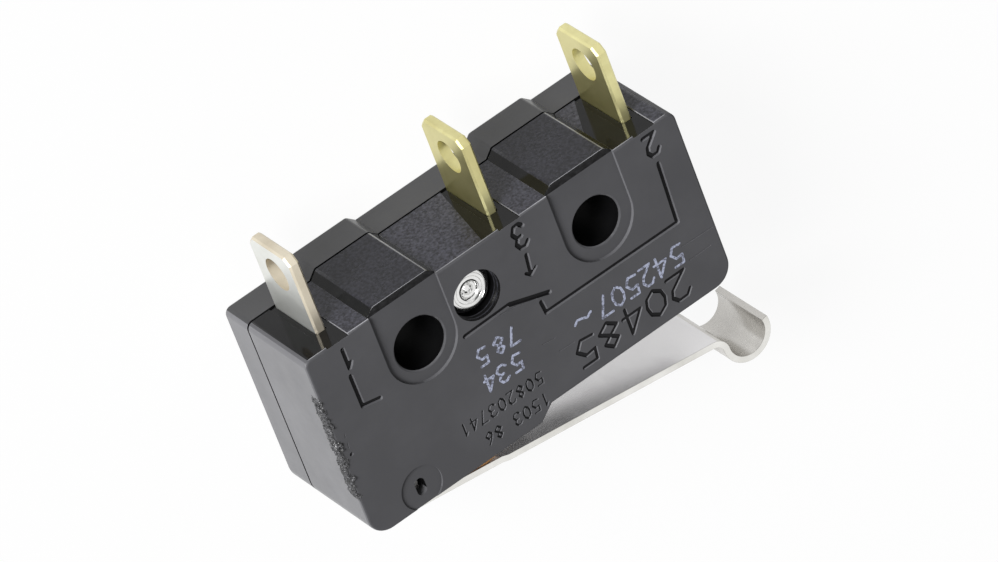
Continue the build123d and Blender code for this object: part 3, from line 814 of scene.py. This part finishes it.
def spinProfile(bm, points, centre, steps, closed=False):
    # points are (radius, z); a full turn about the upright axis through the centre
    verts = [bm.verts.new((centre.x + r, centre.y, z)) for r, z in points]
    pairs = list(zip(verts, verts[1:]))
    if closed:
        pairs.append((verts[-1], verts[0]))
    edges = [bm.edges.new(pair) for pair in pairs]
    bmesh.ops.spin(
        bm, geom=verts + edges, cent=centre, axis=(0, 0, 1), dvec=(0, 0, 0), angle=math.tau,
        steps=steps, use_merge=True, use_duplicate=False,
    )
    bmesh.ops.remove_doubles(bm, verts=bm.verts[:], dist=weldReach)


def buildRecessRings():
    bm = bmesh.new()
    wall = recess["radius"] + recess["intoWall"]
    inner = recess["radius"] - recess["width"]
    half = recess["height"] / 2
    for depth in recess["depths"]:
        z = frontZ - depth
        spinProfile(bm, [(wall, z - half), (inner, z), (wall, z + half)], rivetAxis, recess["steps"], True)
    smoothByAngle(bm)
    # the rings take the darker land-top copy of the plastic, a painted shade
    data = meshFrom(bm, "recessRings", [casePlastics["caseLandTopShade"]])
    linkMesh("recessRings", data, "case")


buildRecessRings()

# rivet with its turned and peened head, in mm

rivetShape = {
    "head": 0.98,
    "headHeight": 0.35,
    "shank": 0.6,
    "footBevel": 0.05,
    "shoulder": [(0, -0.10), (-0.03, -0.03)],
    "faceDrop": 0.01,
    "centreDrop": 0.02,
    "rings": [
        (0.93, -0.012), (0.90, 0), (0.80, 0), (0.785, -0.02), (0.77, 0), (0.66, -0.008), (0.645, -0.03),
        (0.63, -0.008),
    ],
    "crater": [
        (0.50, 0.0), (0.46, 0.05), (0.41, 0.02), (0.36, -0.08), (0.27, -0.10), (0.20, -0.03), (0.12, 0.02),
        (0.05, 0.0),
    ],
    "steps": 72,
    "smoothAngle": 40,
}
crumple = {
    "depth": 0.08,
    "below": 0.2,
    "radius": 0.52,
    "fade": 0.56,
    "scale": 5.5,
    "shift": (2.3, 4.1, 0),
    "level": 0.35,
}


def rivetProfile():
    top, bottom = rivetHigh.z / mm, rivetLow.z / mm
    head, tall, shank = rivetShape["head"], rivetShape["headHeight"], rivetShape["shank"]
    bevel = rivetShape["footBevel"]
    profile = [(0, bottom), (head - bevel, bottom), (head, bottom + bevel), (head, bottom + tall)]
    profile += [(shank, bottom + tall), (shank, top - tall), (head, top - tall)]
    profile += [(head + out, top + up) for out, up in rivetShape["shoulder"]]
    face = top - rivetShape["faceDrop"]
    profile += [(r, face + up) for r, up in rivetShape["rings"] + rivetShape["crater"]]
    profile.append((0, top - rivetShape["centreDrop"]))
    return profile


def buildRivet():
    bm = bmesh.new()
    spinProfile(bm, [(r * mm, z * mm) for r, z in rivetProfile()], rivetAxis, rivetShape["steps"])
    for v in bm.verts:
        reach = (Vector((v.co.x, v.co.y, 0)) - rivetAxis).length / mm
        if v.co.z > rivetHigh.z - crumple["below"] * mm and reach < crumple["radius"]:
            lump = noise.fractal(v.co / mm * crumple["scale"] + Vector(crumple["shift"]), 1.0, 2.0, 3)
            fade = 1 - reach / crumple["fade"]
            v.co.z += min(0.0, lump - crumple["level"]) * crumple["depth"] * mm * fade
    smoothByAngle(bm, rivetShape["smoothAngle"])
    data = meshFrom(bm, "rivetTurned", [metals["rivetMetal"]])
    linkMesh("rivetTurned", data, "case", "rivet")


buildRivet()
print("rivet made")

# terminals and lever: flat faces in one finish, cut edges in another

stampings = {
    "com_terminal": {"piece": "commonTerminal", "metal": "silvered", "slot": "silvered_blade"},
    "no_terminal": {"piece": "openTerminal", "metal": "brass", "slot": "brass_blade"},
    "nc_terminal": {"piece": "closedTerminal", "metal": "brass", "slot": "brass_blade"},
}


def buildTerminal(name):
    look = stampings[name]
    bm = mergedCopy(name)
    for face in bm.faces:
        inBlade = face.calc_center_median().y < terminalFaceY
        bladeSide, rootSide = abs(face.normal.x) > lean["nearlyFlat"], abs(face.normal.z) < lean["upright"]
        face.material_index = 0 if (bladeSide if inBlade else rootSide) else 1
    smoothByAngle(bm)
    data = meshFrom(bm, look["piece"], [metals[look["metal"] + "Blade"], metals[look["metal"] + "Cut"]])
    linkMesh(look["piece"], finishedMesh(data, look["piece"]), "case", name)


for name in stampings:
    buildTerminal(name)
print("terminals made")

leverShape = {
    "edgeRound": 0.035 * mm,
    "edgeSharp": 50,
    "rollWidth": 2.6 * mm,
    "cutLean": 0.8,
    "names": ["leverSteel", "leverCut", "leverRoll", "leverBurr"],
}


def buildLever():
    bm = mergedCopy("lever")
    steel, cut, roll, burr = range(len(leverShape["names"]))
    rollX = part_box("lever")[0].x + leverShape["rollWidth"]
    for face in bm.faces:
        flat = roll if face.calc_center_median().x < rollX else steel
        face.material_index = cut if abs(face.normal.z) > leverShape["cutLean"] else flat
    rounded = bevelSharp(
        bm, leverShape["edgeRound"], leverShape["edgeSharp"], lambda middle: middle.y > caseHigh.y,
    )
    for face in rounded:
        face.material_index = burr
    smoothByAngle(bm)
    data = meshFrom(bm, "leverStrip", [metals[name] for name in leverShape["names"]])
    linkMesh("leverStrip", finishedMesh(data, "leverStrip"), "lever", "lever")


buildLever()


plungerShape = {"edgeRound": 0.06 * mm, "edgeSharp": 50, "segments": 3, "smoothAngle": 40}


def buildPlunger():
    bm = mergedCopy("plunger")
    bevelSharp(
        bm, plungerShape["edgeRound"], plungerShape["edgeSharp"], lambda middle: True,
        plungerShape["segments"],
    )
    smoothByAngle(bm, plungerShape["smoothAngle"])
    data = finishedMesh(meshFrom(bm, "plungerMoulded", [amberMat]), "plungerMoulded")
    linkMesh("plungerMoulded", data, "plunger", "plunger")


buildPlunger()
print("lever and plunger made")

# printed numbers

printing = {
    "width": 0.115 * mm,
    "thickness": 0.006 * mm,
    "sunk": 0.002 * mm,
    "stagger": 0.0006 * mm,
    "rows": [
        ("5", (-7.90, 3.32), (0.60, 1.0)),
        ("4", (-7.05, 3.32), (0.64, 1.0)),
        ("2", (-6.25, 3.32), (0.58, 1.0)),
        ("5", (-5.46, 3.32), (0.58, 1.0)),
        ("0", (-4.68, 3.32), (0.58, 1.0)),
        ("7", (-3.95, 3.32), (0.58, 1.0)),
        ("~", (-2.95, 3.32), (0.9, 0.8)),
        ("7", (0.52, 1.92), (0.5, 0.85)),
        ("8", (1.25, 1.92), (0.5, 0.85)),
        ("5", (2.15, 1.92), (0.5, 0.85)),
        ("5", (0.78, 3.22), (0.5, 0.85)),
        ("3", (1.58, 3.27), (0.5, 0.85)),
        ("4", (2.26, 3.25), (0.5, 0.85)),
    ],
}


def buildPrint():
    bm = bmesh.new()
    lowZ, highZ = frontZ - printing["sunk"], frontZ + printing["thickness"]
    for digit, corner, size in printing["rows"]:
        for line in numberLines(digit, corner, size):
            addStroke(bm, line, printing["width"], lowZ, highZ, 1, printing["stagger"])
    linkMesh("printedNumbers", meshFrom(bm, "printedNumbers", [inkMat]), "case")


buildPrint()
print("numbers printed")

# crumbly flash along the front edge of the hinge end, folded over the edge, in mm

flash = {
    "lowY": -0.78,
    "highY": 4.97,
    "cells": (230, 34),
    "onEnd": {"width": 0.78, "middle": 0.78, "swing": 0.3, "scale": 2.1, "seed": 3.1},
    "onFront": {"width": 0.36, "middle": 0.45, "swing": 0.75, "scale": 2.9, "seed": 9.4},
    "endFade": 16,
    "sideFade": 14,
    "corner": 0.10,
    "cornerCut": 0.3,
    "sunk": 0.014,
    "step": 0.02,
    "level": 0.4,
    "rise": 0.09,
    "lumpScale": (9.5, 11.0),
    "lumpSeed": 1.7,
}


def clamped(value):
    return min(1, max(0, value))


def raggedWidth(y, border):
    wobble = noise.noise(Vector((y * border["scale"], border["seed"], 0)))
    return border["width"] * (border["middle"] + border["swing"] * wobble)


def flashRise(y, s, ends):
    # how far the flash stands out; below 0 it lies under the surface of the case
    overEnd = clamped((s + raggedWidth(y, flash["onEnd"])) * flash["sideFade"])
    overFront = clamped((raggedWidth(y, flash["onFront"]) - s) * flash["sideFade"])
    scaleY, scaleS = flash["lumpScale"]
    lump = noise.fractal(Vector((y * scaleY, s * scaleS, flash["lumpSeed"])), 0.8, 2.0, 4)
    high = flash["step"] + max(-flash["step"], flash["level"] + lump) * flash["rise"]
    return overEnd * overFront * ends * high - flash["sunk"]


def flashBase(y, s):
    # a point on the case: s below 0 is on the end face, above 0 on the front
    edgeX, edgeZ, corner = hingeEndX / mm, frontZ / mm, flash["corner"]
    if s < 0:
        return Vector((edgeX - max(0, s + corner) * flash["cornerCut"], y, edgeZ + s))
    return Vector((edgeX - s, y, edgeZ - max(0, corner - s) * flash["cornerCut"]))


def buildFlash():
    bm = bmesh.new()
    bmesh.ops.create_grid(bm, x_segments=flash["cells"][0], y_segments=flash["cells"][1], size=0.5)
    length = flash["highY"] - flash["lowY"]
    width = flash["onEnd"]["width"] + flash["onFront"]["width"]
    corner = flash["corner"]
    for v in bm.verts:
        y = flash["lowY"] + (v.co.x + 0.5) * length
        s = (v.co.y + 0.5) * width - flash["onEnd"]["width"]
        ends = clamped((0.5 - abs(v.co.x)) * flash["endFade"])
        turn = clamped((s + corner) / (2 * corner)) * math.pi / 2
        out = Vector((math.cos(turn), 0, math.sin(turn)))
        v.co = (flashBase(y, s) + out * flashRise(y, s, ends)) * mm
    data = meshFrom(bm, "flashStrip", [casePlastics["flashCrumb"]])
    linkMesh("flashStrip", data, "case")


buildFlash()
print("flash strip made")

# floor, light and camera

studio = {
    "floorColour": (0.98, 0.98, 0.98),
    "floorGlow": 0.92,
    "floorRoughness": 0.9,
    "floorSpecular": 0.1,
    "floorRadius": 6,
    "floorSides": 96,
    "floorDrop": 0.00003,
    "skyLevel": 0.22,
    "keyWay": (0.73, -0.51, 0.454),
    "keyDistance": 1.2,
    "keySize": 0.55,
    "keyRadiance": 24.0,
}


def seenDirectly(tree, place):
    # 1 for camera, glossy and transmission rays
    path = addNode(tree, "ShaderNodeLightPath", place)
    first = addNode(tree, "ShaderNodeMath", (place[0] + 200, place[1]), operation="ADD")
    second = addNode(tree, "ShaderNodeMath", (place[0] + 400, place[1]), operation="ADD", use_clamp=True)
    tree.links.new(path.outputs["Is Camera Ray"], first.inputs[0])
    tree.links.new(path.outputs["Is Glossy Ray"], first.inputs[1])
    tree.links.new(first.outputs[0], second.inputs[0])
    tree.links.new(path.outputs["Is Transmission Ray"], second.inputs[1])
    return second.outputs[0]


def buildFloor():
    bm = bmesh.new()
    place = Matrix.Translation((0, 0, -studio["floorDrop"]))
    bmesh.ops.create_circle(
        bm, cap_ends=True, segments=studio["floorSides"], radius=studio["floorRadius"], matrix=place,
    )
    mat, tree, shader = newMaterial("paleFloor")
    shader.inputs["Base Color"].default_value = (*studio["floorColour"], 1)
    shader.inputs["Roughness"].default_value = studio["floorRoughness"]
    shader.inputs["Specular IOR Level"].default_value = studio["floorSpecular"]
    glow = addNode(tree, "ShaderNodeEmission", (0, -300), Strength=1.0)
    share = addNode(tree, "ShaderNodeMath", (0, 300), operation="MULTIPLY")
    share.inputs[1].default_value = studio["floorGlow"]
    tree.links.new(seenDirectly(tree, (-800, 300)), share.inputs[0])
    mix = addNode(tree, "ShaderNodeMixShader", (300, 0))
    tree.links.new(share.outputs[0], mix.inputs[0])
    tree.links.new(shader.outputs[0], mix.inputs[1])
    tree.links.new(glow.outputs[0], mix.inputs[2])
    tree.links.new(mix.outputs[0], tree.nodes["Material Output"].inputs["Surface"])
    data = meshFrom(bm, "floor", [mat])
    floor = linkMesh("floor", data)
    for polygon in data.polygons:
        if polygon.normal.z < 0:
            polygon.flip()


def buildWorld():
    world = bpy.data.worlds.new("studioWorld")
    scene.world = world
    world.use_nodes = True
    tree = world.node_tree
    background = tree.nodes["Background"]
    level = addNode(tree, "ShaderNodeMapRange", (-300, 0))
    level.inputs["To Min"].default_value = studio["skyLevel"]
    level.inputs["To Max"].default_value = 1.0
    tree.links.new(seenDirectly(tree, (-900, 0)), level.inputs["Value"])
    tree.links.new(level.outputs["Result"], background.inputs["Strength"])
    background.inputs["Color"].default_value = (1, 1, 1, 1)


def softBox(name, way, distance, size, radiance):
    light = bpy.data.lights.new(name, "AREA")
    light.shape = "SQUARE"
    light.size = size
    light.energy = radiance * math.pi * size * size
    made = bpy.data.objects.new(name, light)
    scene.collection.objects.link(made)
    made.location = Vector(way).normalized() * distance
    made.rotation_euler = (-made.location).to_track_quat("-Z", "Y").to_euler()


camera = {
    "place": (0.13045, -0.23968, 0.3228),
    "right": (-0.7815, 0.2993, 0.5474),
    "up": (-0.5406, -0.7629, -0.3547),
    "focalPixels": 9930.0,
    "imageWidth": 998,
    "sensor": 36.0,
    "clip": (0.01, 50),
}


def buildCamera():
    data = bpy.data.cameras.new("photoCamera")
    data.sensor_width = camera["sensor"]
    data.lens = camera["focalPixels"] * camera["sensor"] / camera["imageWidth"]
    data.clip_start, data.clip_end = camera["clip"]
    made = bpy.data.objects.new("photoCamera", data)
    scene.collection.objects.link(made)
    right = Vector(camera["right"]).normalized()
    up = Vector(camera["up"])
    up = (up - right * up.dot(right)).normalized()
    back = right.cross(up)
    turn = Matrix((right, up, back)).transposed().to_4x4()
    made.matrix_world = Matrix.Translation(camera["place"]) @ turn
    scene.camera = made


buildFloor()
buildWorld()
softBox("keyBox", studio["keyWay"], studio["keyDistance"], studio["keySize"], studio["keyRadiance"])
buildCamera()
scene.view_settings.view_transform = "Standard"
print("studio set")
